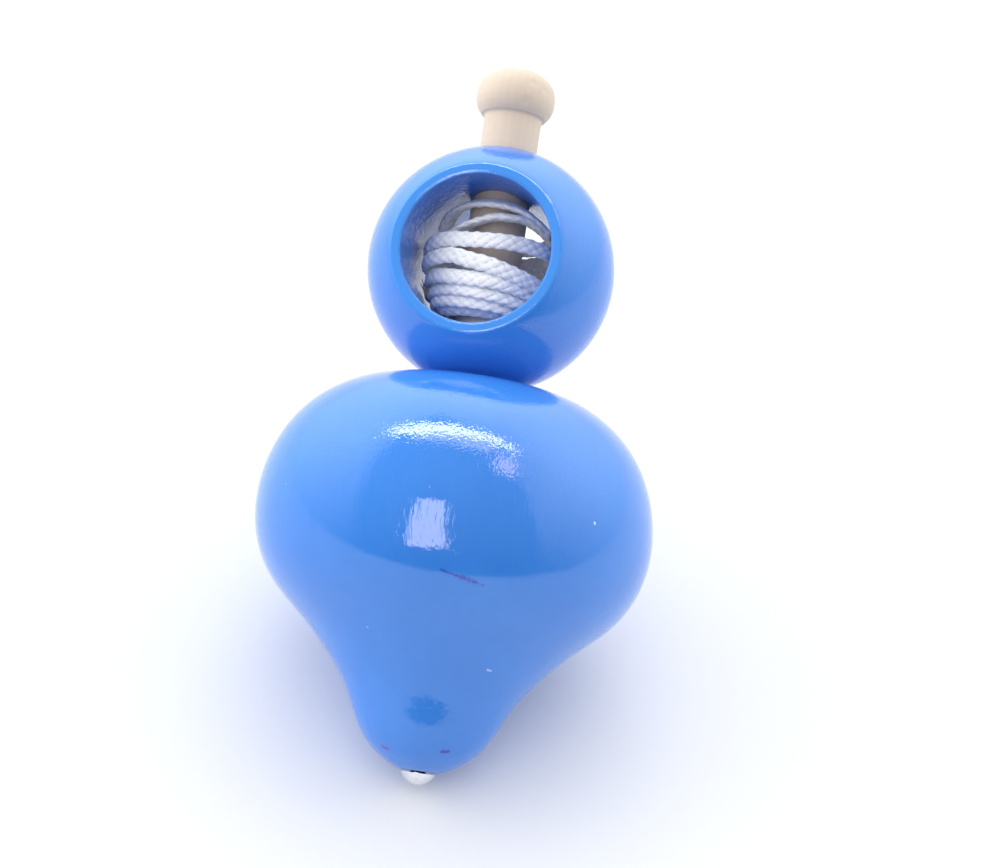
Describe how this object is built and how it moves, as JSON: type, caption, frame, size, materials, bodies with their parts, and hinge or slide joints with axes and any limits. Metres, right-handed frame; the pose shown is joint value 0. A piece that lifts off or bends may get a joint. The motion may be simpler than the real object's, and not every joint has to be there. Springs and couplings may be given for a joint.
{
  "type": "pull-cord spinning top",
  "caption": "Pear-shaped spinning top on a steel nail point, with a loose ball handle on its axle peg and a launch cord wound on the peg inside the ball.",
  "frame": {"origin": "lowest point of the nail head, where the top spins on a floor; on the spin axis", "axes": "+Z along the spin axis, from the nail point to the finger knob; Y along the window drilled through the ball, with the -Y side to the front; X across it"},
  "size_m": [0.0554, 0.0554, 0.1021],
  "materials": {
    "body_lacquer": "sky-blue gloss lacquer over turned wood",
    "ball_lacquer": "sky-blue gloss lacquer over turned wood",
    "bare_wood": "bare turned pale wood, sanded",
    "nail_steel": "bright drawn steel, domed head",
    "cord": "white braided nylon"
  },
  "bodies": {
    "top": {"top_body": "body_lacquer", "peg": "bare_wood", "tip_nail": "nail_steel"},
    "cord": {"cord_winding": "cord"},
    "handle": {"ball_handle": "ball_lacquer"}
  },
  "joints": [
    {"name": "handle_lift", "type": "slide", "parent": "top", "child": "cord", "axis": [0, 0, 1], "range_m": [0, 0.0054]},
    {"name": "handle_spin", "type": "hinge", "parent": "cord", "child": "handle", "pos_m": [0, 0, 0.07272], "axis": [0, 0, 1], "continuous": true}
  ]
}
